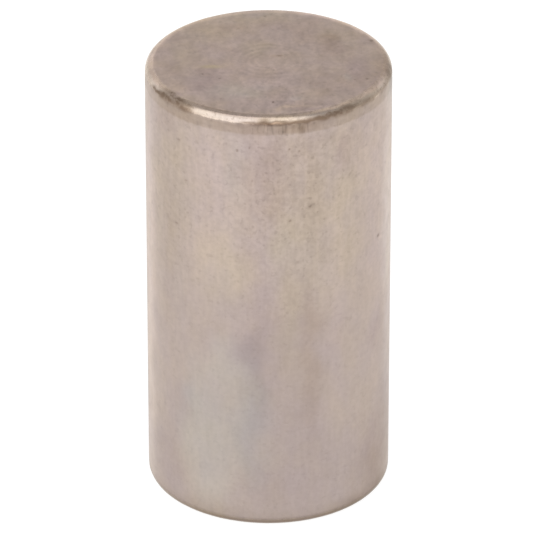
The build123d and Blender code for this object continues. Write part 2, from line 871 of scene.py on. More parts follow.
# Turn, way, half width and half length in mm, strength.
RIM_PATCHES = patches_on(
    Surface.RIM,
    {
        Tint.STRAW: (
            (10, 1.56, 3.0, 0.20, 0.3),
        ),
        Tint.SLATE: (
            (83, 0.30, 2.0, 1.20, 1.0),
        ),
        Tint.UMBER: (
            (-45, 0.50, 2.2, 0.60, 0.5), (-12, 0.50, 2.8, 0.60, 0.55), (16, 0.60, 2.0, 0.50, 0.9),
        ),
        Tint.BRIGHT: (
            # Mostly painted highlight and reflection: they widen the highlight on the rounding and
            # brighten the far rim.
            (-60, 0.50, 2.0, 0.70, 0.2), (14, 1.78, 2.4, 0.12, 0.9), (25, 1.90, 1.6, 0.18, 0.8),
            (-67, 1.95, 1.7, 0.24, 0.6), (-47, 2.62, 2.4, 0.22, 0.35), (180, 2.25, 18.0, 0.30, 0.45),
            (-112, 2.08, 3.4, 0.20, 0.5), (120, 2.04, 3.2, 0.18, 0.4), (-174, 2.48, 6.0, 0.28, 0.8),
            (-133, 2.20, 4.0, 0.26, 0.6), (36, 1.86, 2.4, 0.13, 0.50),
        ),
        Tint.SOOT_AND_SHADE: (
            # Dark oxide lines, and painted shade that trims and breaks up the highlight on the rounding.
            (15.6, 0.45, 0.24, 0.40, 0.60), (7.4, 0.45, 0.18, 0.42, 0.45), (11.4, 0.55, 0.13, 0.34, 0.40),
            (-5.0, 0.50, 0.10, 0.36, 0.30), (-2, 0.84, 8.0, 0.17, 0.25), (-29, 2.10, 2.6, 0.12, 0.35),
            (-20, 1.76, 2.2, 0.13, 0.15), (68, 2.13, 4.0, 0.12, 0.28), (-77, 1.92, 0.9, 0.22, 0.25),
            (-79, 1.22, 1.8, 0.22, 0.60), (90, 0.80, 2.6, 1.10, 0.60), (4.5, 1.36, 1.2, 0.07, 0.5),
            (10.5, 1.07, 1.5, 0.12, 0.55), (-2.2, 1.42, 0.6, 0.20, 0.8), (1, 1.15, 3.2, 0.15, 0.5),
            (76, 1.78, 1.2, 0.24, 0.25), (-0.8, 1.18, 1.1, 0.13, 0.9), (0.0, 1.21, 0.36, 0.11, 0.62),
            (5.5, 1.33, 0.5, 0.12, 0.35), (-6, 1.25, 0.5, 0.12, 0.35), (-9.8, 1.14, 0.65, 0.17, 0.5),
            (-6, 1.15, 1.3, 0.17, 0.5), (7, 1.30, 2.6, 0.13, 0.7), (6, 1.05, 1.6, 0.12, 0.4),
            (14, 1.15, 2.8, 0.13, 0.8), (11.7, 1.08, 0.5, 0.11, 0.50), (20.5, 1.26, 0.9, 0.20, 0.45),
            (21, 1.12, 0.6, 0.10, 0.30), (50, 1.17, 7.0, 0.12, 0.45), (61, 1.60, 0.8, 0.40, 0.30),
            (77, 1.22, 1.9, 0.20, 0.7), (92, 1.95, 2.8, 0.34, 0.5), (-49.5, 1.18, 4.4, 0.15, 0.40),
            (-57, 1.32, 1.6, 0.16, 0.40), (32, 1.42, 1.3, 0.22, 0.35), (46.5, 1.26, 2.0, 0.22, 0.45),
            (113, 2.32, 2.2, 0.26, 0.25), (-41.2, 1.32, 0.85, 0.36, 0.9),
        ),
        Tint.GLINT: (
            # Painted highlights: bright lines along the face's edge and the far rim, and a bright tick
            # below the highlight.
            (33, 1.93, 2.0, 0.16, 1.0), (55, 1.86, 1.4, 0.15, 0.6), (67, 1.68, 1.7, 0.20, 0.9),
            (-68, 1.62, 1.4, 0.22, 0.9), (-90, 2.00, 1.8, 0.34, 0.7), (143, 2.18, 4.6, 0.26, 0.8),
            (3.2, 1.20, 0.7, 0.10, 1.0), (3.0, 1.19, 0.8, 0.07, 0.9), (3.8, 1.19, 0.45, 0.07, 0.8),
        ),
        Tint.CLEAN: (
            (-22, 1.42, 4.0, 0.30, 0.6),
        ),
        Tint.SHEEN: (
            # Painted reflection on the far rim.
            (180, 2.28, 12.0, 0.26, 1.0), (-112, 2.08, 3.4, 0.20, 1.0), (120, 2.04, 3.2, 0.18, 1.0),
        ),
    },
)

# X, Y, half width and half length, all in mm, strength.
FACE_PATCHES = patches_on(
    Surface.UPPER_END,
    {
        Tint.STRAW: (
            (-6.0, 6.0, 3.0, 2.6, 1.0), (-2.0, 8.8, 4.0, 1.4, 1.0), (6.6, 5.0, 1.8, 3.6, 1.0),
            (-7.8, 1.0, 0.9, 2.6, 1.0), (-1.0, 2.6, 1.5, 1.5, 1.0), (9.4, 0.0, 0.8, 4.0, 0.7),
            (-6.8, -7.2, 1.2, 0.8, 0.7),
        ),
        Tint.ROSE: (
            (-1.0, -3.0, 3.2, 4.0, 0.8), (-6.4, -6.6, 2.0, 1.6, 0.4), (-4.2, 3.2, 1.8, 1.8, 0.5),
        ),
        Tint.SAGE: (
            (-2.6, -5.8, 2.2, 1.4, 0.9), (7.1, -3.2, 0.5, 0.8, 0.8), (2.5, -7.4, 0.8, 0.7, 0.6),
        ),
        Tint.PLUM: (
            (5.9, 3.4, 0.8, 2.0, 0.7), (-2.9, 1.6, 0.4, 1.1, 0.5), (-5.0, -4.2, 1.8, 1.6, 0.45),
            (7.6, -4.6, 1.2, 1.2, 0.35), (1.0, 7.0, 2.0, 1.0, 0.35), (-5.5, -2.4, 1.2, 1.0, 0.8),
            (-8.3, -1.4, 0.8, 1.6, 0.6), (-6.4, -4.4, 1.8, 1.2, 0.5), (8.4, -2.0, 1.5, 2.8, 0.8),
            (2.5, -8.6, 4.0, 0.9, 0.5), (3.4, 6.2, 1.8, 1.6, 0.4), (5.3, 2.0, 0.9, 1.4, 0.5),
            (6.6, 3.0, 1.4, 5.0, 0.25), (2.9, -9.35, 1.30, 0.26, 0.7),
        ),
        Tint.UMBER: (
            (5.9, 3.2, 0.7, 1.8, 0.3), (0.7, 1.1, 0.7, 0.18, 0.5), (5.4, 4.4, 1.0, 1.1, 0.5),
            (9.7, -1.0, 0.5, 2.6, 0.5), (3.0, 5.0, 1.0, 1.2, 0.3), (1.0, -7.0, 0.9, 1.0, 0.3),
            (-3.2, 6.9, 1.2, 0.7, 0.4), (5.2, -4.6, 1.8, 2.4, 0.4),
        ),
        Tint.BRIGHT: (
            (-8.0, -5.2, 1.0, 1.0, 0.4), (-4.6, 7.6, 2.6, 1.8, 0.25), (1.4, 3.0, 1.4, 1.2, 0.3),
            (-3.3, 0.2, 0.7, 1.8, 0.35), (0.9, -9.5, 0.30, 0.50, 1.0), (1.4, -8.95, 0.60, 0.20, 1.0),
            (2.6, -8.75, 1.10, 0.17, 0.8), (4.2, -8.85, 0.80, 0.16, 0.5), (0.0, -1.0, 4.5, 0.9, 0.25),
            (-1.2, 3.2, 1.2, 1.0, 0.3),
        ),
        Tint.BRASS: (
            (-5.1, -1.1, 0.9, 0.35, 1.0),
        ),
        Tint.CLEAN: (
            (-0.5, 9.3, 4.5, 0.9, 0.9),
        ),
    },
)

# Turn, way, half width and half length in mm, strength.
# Dark stains on the rounding: partly oxide, partly painted shade below and beside the highlight.
RIM_STAINS_AND_SHADE = tuple(
    Mark.listed(Surface.RIM, *row)
    for row in (
        (-63, 1.24, 1.3, 0.20, 1.0), (-56, 1.32, 1.5, 0.38, 1.0), (-54.5, 1.85, 1.1, 0.36, 0.7),
        (-48, 1.20, 1.0, 0.17, 1.0), (-49, 1.32, 1.5, 0.36, 1.0), (-48, 1.74, 1.2, 0.24, 0.9),
        (-45, 1.22, 1.2, 0.26, 1.0), (-43, 1.62, 1.1, 0.20, 0.7), (10, 1.15, 1.4, 0.10, 0.8),
        (18, 1.15, 1.4, 0.16, 0.9), (25, 1.24, 1.4, 0.28, 1.0), (33, 1.28, 1.6, 0.33, 1.0),
        (40, 1.44, 1.7, 0.32, 0.8), (48, 1.42, 1.2, 0.28, 0.45), (52, 1.27, 2.0, 0.22, 0.5),
        (66, 1.26, 1.8, 0.16, 0.45), (76, 1.40, 1.6, 0.26, 0.6), (83, 1.42, 1.5, 0.42, 0.75),
    )
)


# ---------------------------------------------------------------------------
# Nodes


class Bench:
    """A small helper that adds nodes to one node tree and joins them."""

    def __init__(self, tree: bpy.types.NodeTree) -> None:
        """Clears a node tree and keeps it.

        Args:
            tree: the node tree to fill.
        """
        self.tree = tree
        self.tree.nodes.clear()

    def feed(self, socket: Socket, value: object) -> None:
        """Links an input socket to another or sets its value.

        Args:
            socket: the input socket.
            value: an output socket, a number, a vector or a colour.
        """
        if isinstance(value, bpy.types.NodeSocket):
            self.tree.links.new(value, socket)
        elif socket.type == "RGBA":
            socket.default_value = (*value, 1.0)
        else:
            socket.default_value = value

    def add(self, kind: str, settings: dict | None = None, **inputs: object) -> bpy.types.Node:
        """Adds one node.

        Args:
            kind: the node's type, without the ShaderNode in front.
            settings: properties of the node itself.
            **inputs: values for its input sockets, with _ for a space in their names.

        Returns:
            The new node.
        """
        node = self.tree.nodes.new("ShaderNode" + kind)
        for name, value in (settings or {}).items():
            setattr(node, name, value)
        for name, value in inputs.items():
            self.feed(node.inputs[name.replace("_", " ")], value)
        return node

    def reckon(self, kind: str, *values: object, clamp: bool = False) -> Socket:
        """Works out one value from others.

        Args:
            kind: the operation, such as ADD.
            *values: what goes in.
            clamp: true to keep the result between 0 and 1.

        Returns:
            The result.
        """
        node = self.add("Math", {"operation": kind, "use_clamp": clamp})
        for socket, value in zip(node.inputs, values):
            self.feed(socket, value)
        return node.outputs[0]

    def ease(
        self, value: object, low: float, high: float, to_low: object = 0.0, to_high: object = 1.0
    ) -> Socket:
        """Maps a value smoothly from one range to another.

        Args:
            value: what goes in.
            low: the start of the range.
            high: the end of the range.
            to_low: the result at the start.
            to_high: the result at the end.

        Returns:
            The mapped value.
        """
        node = self.add("MapRange", {"interpolation_type": "SMOOTHSTEP"})
        for socket, part in zip(node.inputs, (value, low, high, to_low, to_high)):
            self.feed(socket, part)
        return node.outputs[0]

    def mix(self, share: object, first: object, second: object) -> Socket:
        """Mixes two values.

        Args:
            share: how much of the second there is.
            first: the first value.
            second: the second value.

        Returns:
            The mixed value.
        """
        # The Mix node has one set of sockets for each kind of value.
        node = self.add("Mix", {"data_type": "FLOAT"})
        for index, value in zip((0, 2, 3), (share, first, second)):
            self.feed(node.inputs[index], value)
        return node.outputs[0]

    def blend(self, share: object, first: object, second: object, kind: str = "MIX") -> Socket:
        """Mixes two colours.

        Args:
            share: how much of the second there is.
            first: the first colour.
            second: the second colour.
            kind: the way they are mixed, such as MULTIPLY.

        Returns:
            The mixed colour.
        """
        node = self.add("Mix", {"data_type": "RGBA", "blend_type": kind})
        for index, value in zip((0, 6, 7), (share, first, second)):
            self.feed(node.inputs[index], value)
        return node.outputs[2]

    def grey(self, level: Socket) -> Socket:
        """Makes a grey of a stated level."""
        return self.add("CombineColor", Red=level, Green=level, Blue=level).outputs[0]

    def named(self, name: str, output: str = "Fac") -> Socket:
        """Reads a named layer that the mesh carries."""
        return self.add("Attribute", {"attribute_name": name}).outputs[output]


# ---------------------------------------------------------------------------
# Finish


@dataclass(frozen=True)
class Grain:
    """One layer of the finish's grain, made by noise.

    Attributes:
        size: about the size of one lump.
        detail: how many finer layers the noise has.
        tall: how many times taller than wide the lumps are.
        deep: how many times deeper than wide they are.
        rise: the noise's values between which the layer comes in.
        gives: what the layer gives below the first of them and above the second.
    """

    size: float
    detail: float = 3.0
    tall: float = 1.0
    deep: float = 1.0
    rise: Span = (0.3, 0.7)
    gives: Span = (0.0, 1.0)

    def lumps(self, bench: Bench) -> Socket:
        """Adds the bare noise.

        Args:
            bench: the bench of the material's nodes.

        Returns:
            The noise, about 0.5 on average.
        """
        where = bench.add("TexCoord").outputs["Object"]
        scale = (1.0, 1 / self.deep, 1 / self.tall)
        spread = bench.add("Mapping", Vector=where, Scale=scale).outputs[0]
        made = bench.add("TexNoise", Vector=spread, Scale=1 / self.size, Detail=self.detail)
        return made.outputs["Fac"]

    def layer(self, bench: Bench) -> Socket:
        """Adds the noise and eases it to what the layer gives."""
        return bench.ease(self.lumps(bench), *self.rise, *self.gives)


@dataclass(frozen=True)
class Zones:
    """How far each part of the surface is in a zone, as sockets from 0 to 1.

    Attributes:
        lead_in: past the end of the journal.
        rim: on the rounding or past it.
        crest: from the crest of the rounding inwards.
        face: on the end face.
        upper: on the upper half of the pin.
    """

    lead_in: Socket
    rim: Socket
    crest: Socket
    face: Socket
    upper: Socket


@dataclass(frozen=True)
class Borders:
    """Where each zone of the surface comes in, with slightly ragged edges.

    The spans are in millimetres along the outline.

    Attributes:
        lead_in: from the end of the journal.
        rim: from the start of the rounding.
        crest: from the start of the end face.
        face: from the start of the end face.
        ragged: the grain that makes the edges ragged.
        stray: how far they stray from end to end of that grain's range.
    """

    lead_in: Span = (-0.06, 0.20)
    rim: Span = (0.0, 0.15)
    crest: Span = (-0.80, -0.35)
    face: Span = (-0.16, 0.02)
    ragged: Grain = Grain(0.45 * MM, 2.0)
    stray: float = 0.30

    def zones(self, bench: Bench, form: PinForm) -> Zones:
        """Parts the surface into its zones.

        Args:
            bench: the bench of the material's nodes.
            form: the pin's form.

        Returns:
            The zones.
        """
        stray = bench.reckon("SUBTRACT", self.ragged.lumps(bench), 0.5)
        way = bench.reckon("MULTIPLY_ADD", stray, self.stray, bench.named("way_mm"))
        starts = (0.0, form.rim_start / MM, form.face_start / MM, form.face_start / MM)
        spans = (self.lead_in, self.rim, self.crest, self.face)
        covers = [
            bench.ease(way, start + low, start + high)
            for start, (low, high) in zip(starts, spans)
        ]
        return Zones(*covers, bench.named("upper"))


@dataclass(frozen=True)
class Clouds:
    """Soft clouds of lighter and darker steel, and faint films of a warmer and a cooler one.

    Attributes:
        wall: the clouds on the wall.
        end: those on the upper end face.
        wall_reach: how much lighter and darker they make the wall.
        end_reach: how much lighter and darker they make the upper end face.
        film: where the films lie.
        film_tones: the two tones that they run between, as factors.
        film_share: how strong they are, before it is averaged with the grit.
    """

    wall: Grain = Grain(1.3 * MM, tall=1.3)
    end: Grain = Grain(0.9 * MM, deep=2.0)
    wall_reach: float = 0.042
    end_reach: float = 0.105
    film: Grain = Grain(2.4 * MM, tall=1.6)
    film_tones: tuple[Colour, Colour] = ((0.980, 0.985, 1.035), (1.020, 1.015, 0.965))
    film_share: float = 0.7

    def over(self, bench: Bench, zones: Zones, colour: Socket) -> Socket:
        """Lays the clouds and the films over a colour.

        Args:
            bench: the bench of the material's nodes.
            zones: the zones of the surface.
            colour: the colour beneath.

        Returns:
            The colour with both over it.
        """
        grit = bench.named("grit")
        on_end = bench.reckon("MULTIPLY", zones.face, zones.upper)
        lumps = bench.mix(on_end, self.wall.lumps(bench), self.end.lumps(bench))
        reach = bench.mix(on_end, self.wall_reach, self.end_reach)
        dark, light = bench.reckon("SUBTRACT", 1.0, reach), bench.reckon("ADD", 1.0, reach)
        level = bench.ease(lumps, *self.wall.rise, dark, light)
        colour = bench.blend(grit, colour, bench.grey(level), "MULTIPLY")
        film = bench.blend(self.film.layer(bench), *self.film_tones)
        return bench.blend(bench.mix(0.5, grit, self.film_share), colour, film, "MULTIPLY")


@dataclass(frozen=True)
class Speckle:
    """The fine speckle, the upright streaks and the ticks on the lead-in.

    Attributes:
        fine: the speckle itself.
        streaks: the upright streaks.
        specks: the sparse darker specks.
        calm: how much less of these three the end faces have.
        ticks: the ticks on the lead-in.
        tick_tone: how much darker the ticks are.
        dense_grit: levels of grit between which the ticks grow dense.
        sparse_ticks: share of the ticks where there is less grit than that.
    """

    fine: Grain = Grain(0.42 * MM, deep=1.3, gives=(-0.074, 0.074))
    streaks: Grain = Grain(0.35 * MM, 1.0, tall=8.0, gives=(-0.034, 0.034))
    specks: Grain = Grain(0.42 * MM, 1.0, deep=1.6, rise=(0.60, 0.72), gives=(0.0, -0.14))
    calm: float = 0.07
    ticks: Grain = Grain(0.24 * MM, 1.0, tall=6.0, rise=(0.54, 0.74))
    tick_tone: float = 0.20
    dense_grit: Span = (0.64, 0.88)
    sparse_ticks: float = 0.15

    def grey(self, bench: Bench, zones: Zones) -> Socket:
        """Makes the grey that multiplies the colour.

        Args:
            bench: the bench of the material's nodes.
            zones: the zones of the surface.

        Returns:
            The grey.
        """
        grit = bench.named("grit")
        level = bench.reckon("ADD", self.fine.layer(bench), self.streaks.layer(bench))
        level = bench.reckon("ADD", level, self.specks.layer(bench))
        calm = bench.reckon("MULTIPLY", zones.face, -self.calm)
        level = bench.reckon("MULTIPLY_ADD", level, bench.reckon("ADD", grit, calm), 1.0)
        bare = bench.reckon("SUBTRACT", zones.lead_in, zones.rim)
        ticks = bench.reckon("MULTIPLY", self.ticks.layer(bench), bare)
        dense = bench.ease(grit, *self.dense_grit, self.sparse_ticks)
        ticks = bench.reckon("MULTIPLY", ticks, dense)
        return bench.grey(bench.reckon("MULTIPLY_ADD", ticks, -self.tick_tone, level))


@dataclass(frozen=True)
class GroundSteel:
    """The steel's finish, from the journal to the end faces.

    The mesh carries the layers that it reads: way_mm, upper, tint, grit, stain and dirt; tint and stain
    also paint highlights and shade.

    Attributes:
        steel: the reflectance of the ground journal.
        edge_tint: what it takes from the reflections at a glancing angle.
        lead_in_tone: that of the upper lead-in.
        rim_tone: that of the rounding, which is smoother.
        crest_tone: that of its crest.
        face_tone: that of the end faces.
        stain_and_shade_tone: that of the oxide stains and of the painted shade on the rim.
        dirt_tone: that of the dirt in the pits.
        journal_roughness: roughness of the journal and the lead-ins.
        rim_roughness: roughness of the roundings.
        face_roughness: roughness of the end faces.
        stain_and_shade_roughness: roughness of the oxide stains and of the painted shade.
        wander: how the roughness wanders everywhere.
        bumps: the grain that stands up from the surface.
        bump_height: its height.
        bump_strength: how much of that shows.
        flecks: how the stains and the painted shade break up into flecks.
        nicks: small stains all over the roundings.
        borders: where the zones begin.
        clouds: the clouds and films.
        speckle: the speckle, the streaks and the ticks.
    """

    steel: Colour = (0.465, 0.380, 0.338)
    edge_tint: Colour = (1.0, 0.97, 0.93)
    lead_in_tone: Colour = (0.402, 0.322, 0.272)
    rim_tone: Colour = (0.580, 0.484, 0.408)
    crest_tone: Colour = (0.575, 0.452, 0.382)
    face_tone: Colour = (0.526, 0.415, 0.365)
    stain_and_shade_tone: Colour = (0.215, 0.152, 0.110)
    dirt_tone: Colour = (0.15, 0.11, 0.085)
    journal_roughness: float = 0.34
    rim_roughness: float = 0.22
    face_roughness: float = 0.42
    stain_and_shade_roughness: float = 0.45
    wander: Grain = Grain(1.2 * MM, gives=(-0.03, 0.03))
    bumps: Grain = Grain(0.22 * MM, tall=1.6)
    bump_height: float = 4 * MICRON
    bump_strength: float = 0.5
    flecks: Grain = Grain(0.60 * MM, 2.0, rise=(0.34, 0.60), gives=(0.72, 1.12))
    nicks: Grain = Grain(0.25 * MM, 2.0, rise=(0.58, 0.70), gives=(0.0, 0.28))
    borders: Borders = Borders()
    clouds: Clouds = Clouds()
    speckle: Speckle = Speckle()

    def material(self, form: PinForm) -> bpy.types.Material:
        """Makes the pin's material.

        Args:
            form: the pin's form, whose ways part the zones.

        Returns:
            The material.
        """
        made = bpy.data.materials.new("ground_steel")
        made.use_nodes = True
        bench = Bench(made.node_tree)
        zones = self.borders.zones(bench, form)
        stain_and_shade = self._stain_and_shade(bench, zones)
        bump = bench.add(
            "Bump",
            Strength=self.bump_strength,
            Distance=self.bump_height,
            Height=self.bumps.lumps(bench),
        )
        steel = bench.add(
            "BsdfPrincipled",
            Base_Color=self._colour(bench, zones, stain_and_shade),
            Metallic=1.0,
            Specular_Tint=self.edge_tint,
            Roughness=self._roughness(bench, zones, stain_and_shade),
            Normal=bump.outputs[0],
        )
        bench.add("OutputMaterial", Surface=steel.outputs[0])
        return made

    def _stain_and_shade(self, bench: Bench, zones: Zones) -> Socket:
        """Breaks the stains and the painted shade up into flecks, and adds small stains all over the
        roundings.

        Args:
            bench: the bench of the material's nodes.
            zones: the zones of the surface.

        Returns:
            The cover of the stains and of the painted shade.
        """
        stain_and_shade = bench.reckon("MULTIPLY", bench.named("stain_and_shade"), self.flecks.layer(bench))
        rounding = bench.reckon("SUBTRACT", zones.rim, zones.face)
        return bench.reckon("MULTIPLY_ADD", self.nicks.layer(bench), rounding, stain_and_shade, clamp=True)

    def _colour(self, bench: Bench, zones: Zones, stain_and_shade: Socket) -> Socket:
        """Works out the colour.

        Args:
            bench: the bench of the material's nodes.
            zones: the zones of the surface.
            stain_and_shade: the cover of the stains and of the painted shade.

        Returns:
            The colour.
        """
        end = bench.blend(zones.upper, self.steel, self.lead_in_tone)
        colour = bench.blend(zones.lead_in, self.steel, end)
        colour = bench.blend(zones.rim, colour, self.rim_tone)
        colour = bench.blend(zones.crest, colour, self.crest_tone)
        colour = bench.blend(zones.face, colour, self.face_tone)
        colour = bench.blend(1.0, colour, bench.named("tint", "Color"), "MULTIPLY")
        colour = self.clouds.over(bench, zones, colour)
        colour = bench.blend(1.0, colour, self.speckle.grey(bench, zones), "MULTIPLY")
        # The stains darken the colour; on the rim they partly paint shade.
        colour = bench.blend(stain_and_shade, colour, self.stain_and_shade_tone)
        return bench.blend(bench.named("dirt"), colour, self.dirt_tone)

    def _roughness(self, bench: Bench, zones: Zones, stain_and_shade: Socket) -> Socket:
        """Works out the roughness.

        Args:
            bench: the bench of the material's nodes.
            zones: the zones of the surface.
            stain_and_shade: the cover of the stains and of the painted shade.

        Returns:
            The roughness.
        """
        rough = bench.mix(zones.rim, self.journal_roughness, self.rim_roughness)
        rough = bench.mix(zones.face, rough, self.face_roughness)
        rough = bench.mix(stain_and_shade, rough, self.stain_and_shade_roughness)
        return bench.reckon("ADD", rough, self.wander.layer(bench))


# ---------------------------------------------------------------------------
# The pin


@dataclass(frozen=True)
class CrankPin:
    """The pin itself: a turned mesh, its marks and its finish.

    Attributes:
        form: its sizes.
        rings: how closely the mesh's rings stand.
        segments: how many facets it has round.
        pit_cuts: how many cuts each edge gets round a pit.
        map_margin: gap round each part of the mesh's map.
        finish: its finish.
        hand_work: the unevenness of its roundings.
        turning: the turning marks of its upper end face.
        grit: how gritty it looks from place to place.
        loose: the marks round the rest of the journal.
        broad_drift: how the edges of broad marks stray.
        fine_drift: how the edges of fine marks stray.
        foot_fade: how it turns cooler and darker towards its foot, by height.
        foot_stray: how many times farther than a broad mark that fade strays.
        lower_fades: how its lower end darkens, by way; the strong second fade is painted shade, the
            floor's contact shadow mirrored in the lower rounding.
    """

    form: PinForm
    rings: Rings = Rings()
    segments: int = 320
    pit_cuts: int = 2
    map_margin: float = 0.006
    finish: GroundSteel = GroundSteel()
    hand_work: HandWork = HandWork()
    turning: TurningMarks = TurningMarks()
    grit: Grit = Grit()
    loose: LooseMarks = LooseMarks()
    broad_drift: Drift = Drift(2.4 * MM, 0.9 * MM)
    fine_drift: Drift = Drift(0.6 * MM, 0.12 * MM)
    foot_fade: Fade = Fade(30 * MM, 8 * MM, (0.905, 0.915, 0.935))
    foot_stray: float = 2.0
    lower_fades: tuple[Fade, ...] = (
        Fade(-0.20 * MM, 1.20 * MM, (0.93, 0.92, 0.89)),
        # Painted shade: the lower rounding darkened as if it mirrored the floor's contact shadow.
        Fade(0.85 * MM, 1.30 * MM, (0.50, 0.46, 0.44)),
    )

    def build(self) -> bpy.types.Object:
        """Makes the dressed pin and puts it in the frame.

        Returns:
            The pin's object.
        """
        pits = [*JOURNAL_PITS, *FACE_PITS, *self.loose.pits()]
        mesh = self._turn()
        self._lay_map(mesh)
        self._refine(mesh, pits)
        place = self._place(mesh)
        turned = self.turning.share(place, self.rings.fine_band)
        self._press(mesh, place, pits, turned)
        self._paint(mesh, place, pits, turned)
        mesh.materials.append(self.finish.material(self.form))
        mesh.shade_smooth()
        pin = bpy.data.objects.new("ground_pin", mesh)
        bpy.context.scene.collection.objects.link(pin)
        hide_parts("crank_pin")
        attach(pin, "root")
        return pin

    def _turn(self) -> bpy.types.Mesh:
        """Turns the outline into a mesh, without any mark.

        Returns:
            The mesh.
        """
        form, count = self.form, self.segments
        wall = self.rings.wall(form)
        middle = form.length / 2
        rings = []
        for upper, side in ((False, -1.0), (True, 1.0)):
            ways = wall[upper:] + self.rings.face(form, upper)
            half = [(form.outline(way)[0], middle + side * form.outline(way)[1]) for way in ways]
            rings += half if upper else half[::-1]
        turns = np.arange(count) / count * 2 * math.pi - math.pi
        radius, height = (np.array(part)[:, None] for part in zip(*rings))
        x, y = radius * np.sin(turns), -radius * np.cos(turns)
        points = np.stack([x, y, height + 0 * turns], axis=2).reshape(-1, 3)
        points = np.vstack([points, [0, 0, 0], [0, 0, form.length]])

        step = np.arange(count)
        after = (step + 1) % count
        last = (len(rings) - 1) * count
        low, high = len(points) - 2 + 0 * step, len(points) - 1 + 0 * step
        parts = [
            np.stack([row + step, row + after, row + count + after, row + count + step], 1)
            for row in range(0, last, count)
        ]
        parts += [np.stack([low, after, step], 1), np.stack([last + step, last + after, high], 1)]
        mesh = bpy.data.meshes.new("ground_pin")
        mesh.from_pydata(points.tolist(), [], [face.tolist() for part in parts for face in part])
        return mesh

    def _lay_map(self, mesh: bpy.types.Mesh) -> None:
        """Gives the mesh its map: the wall as one strip, the two ends as discs beside it.

        Args:
            mesh: the turned mesh.
        """
        form = self.form
        margin, hair = self.map_margin, 10 * MICRON
        width = 1 - 2 * margin
        per_metre = width / (2 * math.pi * form.radius)
        strip = 2 * (form.half_journal + form.face_start) * per_metre
        disc = (1 - strip - 3 * margin) / 2
        corner = np.zeros(len(mesh.loops), np.int32)
        mesh.loops.foreach_get("vertex_index", corner)
        starts = np.zeros(len(mesh.polygons), np.int32)
        totals = np.zeros(len(mesh.polygons), np.int32)
        mesh.polygons.foreach_get("loop_start", starts)
        mesh.polygons.foreach_get("loop_total", totals)
        owner = np.repeat(np.arange(len(starts)), totals)

        place = self._place(mesh)
        way, turn, upper = place.way[corner], place.turn[corner], place.upper[corner]
        flat = np.minimum.reduceat(way, starts)[owner] >= form.face_start - hair
        widest, least = np.maximum.reduceat(turn, starts), np.minimum.reduceat(turn, starts)
        crosses = (widest - least)[owner] > 180
        turn = np.where(crosses & (turn < 0), turn + 360, turn)
        along = np.where(upper, way + form.half_journal, -(way + form.half_journal)) * per_metre
        around = np.radians(turn)
        span = place.radius[corner] / form.face_radius * disc
        side = np.where(upper, margin + disc, 2 * margin + 3 * disc)
        across = np.where(flat, side + span * np.sin(around), margin + (turn + 180) / 360 * width)
        up = np.where(flat, 1 - margin - disc - span * np.cos(around), margin + strip / 2 + along)
        layer = mesh.uv_layers.new(name="OFBake")
        layer.uv.foreach_set("vector", np.stack([across, up], 1).astype(np.float32).ravel())

    def _place(self, mesh: bpy.types.Mesh) -> Place:
        """Finds where the mesh's vertices lie.

        Args:
            mesh: the turned mesh or the refined one.

        Returns:
            The places of its vertices.
        """
        points = np.zeros(len(mesh.vertices) * 3)
        mesh.vertices.foreach_get("co", points)
        return Place.of(self.form, points.reshape(-1, 3))

    def _refine(self, mesh: bpy.types.Mesh, pits: list[Pit]) -> None:
        """Cuts the faces round each pit finer, so that the pit is real form.

        Args:
            mesh: the turned mesh.
            pits: the pits.
        """
        shape = bmesh.new()
        shape.from_mesh(mesh)
        middles = np.array([face.calc_center_median() for face in shape.faces])
        place = Place.of(self.form, middles)
        chosen = np.logical_or.reduce([pit.near(place) for pit in pits])
        edges = {edge for face, near in zip(shape.faces, chosen) if near for edge in face.edges}
        ordered = sorted(edges, key=lambda edge: edge.index)
        bmesh.ops.subdivide_edges(shape, edges=ordered, cuts=self.pit_cuts, use_grid_fill=True)
        shape.to_mesh(mesh)
        shape.free()

    def _press(
        self, mesh: bpy.types.Mesh, place: Place, pits: list[Pit], turned: np.ndarray
    ) -> None:
        """Presses the pits, the turning marks and the roundings' unevenness into the mesh.

        Args:
            mesh: the refined mesh.
            place: where its vertices lie.
            pits: the pits.
            turned: how deep in a turning mark each vertex is.
        """
        depth = self.hand_work.hollow(place) + self.turning.depth * turned
        for pit in pits:
            depth += pit.depth(place)
        pressed = place.points - place.outward * depth[:, None]
        mesh.vertices.foreach_set("co", pressed.ravel())
        mesh.update()

    def _paint(
        self, mesh: bpy.types.Mesh, place: Place, pits: list[Pit], turned: np.ndarray
    ) -> None:
        """Stores the layers that the finish reads.

        Args:
            mesh: the refined mesh.
            place: where its vertices lay before the marks were pressed in.
            pits: the pits.
            turned: how deep in a turning mark each vertex is.
        """
        broad, fine = place.drifting(self.broad_drift), place.drifting(self.fine_drift)
        tint = self._foot_fade_and_lower_shade(broad) * (1 - self.turning.tone * turned)[:, None]
        # Besides films and stains, the patches paint highlights, reflections and shade.
        for patch in (*JOURNAL_PATCHES, *RIM_PATCHES, *FACE_PATCHES, *self.loose.patches()):
            tint *= patch.factors(fine if patch.fine else broad)
        layers = {
            "way_mm": place.way / MM,
            "upper": place.upper,
            "grit": self.grit.level(place),
            # Oxide stains on the rim, partly painted shade.
            "stain_and_shade": np.maximum.reduce([mark.cover(fine) for mark in RIM_STAINS_AND_SHADE]),
            "dirt": np.maximum.reduce([pit.soil(place) for pit in pits]),
        }
        for name, values in layers.items():
            layer = mesh.attributes.new(name, "FLOAT", "POINT")
            layer.data.foreach_set("value", values.astype(np.float32))
        layer = mesh.attributes.new("tint", "FLOAT_COLOR", "POINT")
        rows = np.column_stack([tint, np.ones(len(tint))])
        layer.data.foreach_set("color", rows.astype(np.float32).ravel())

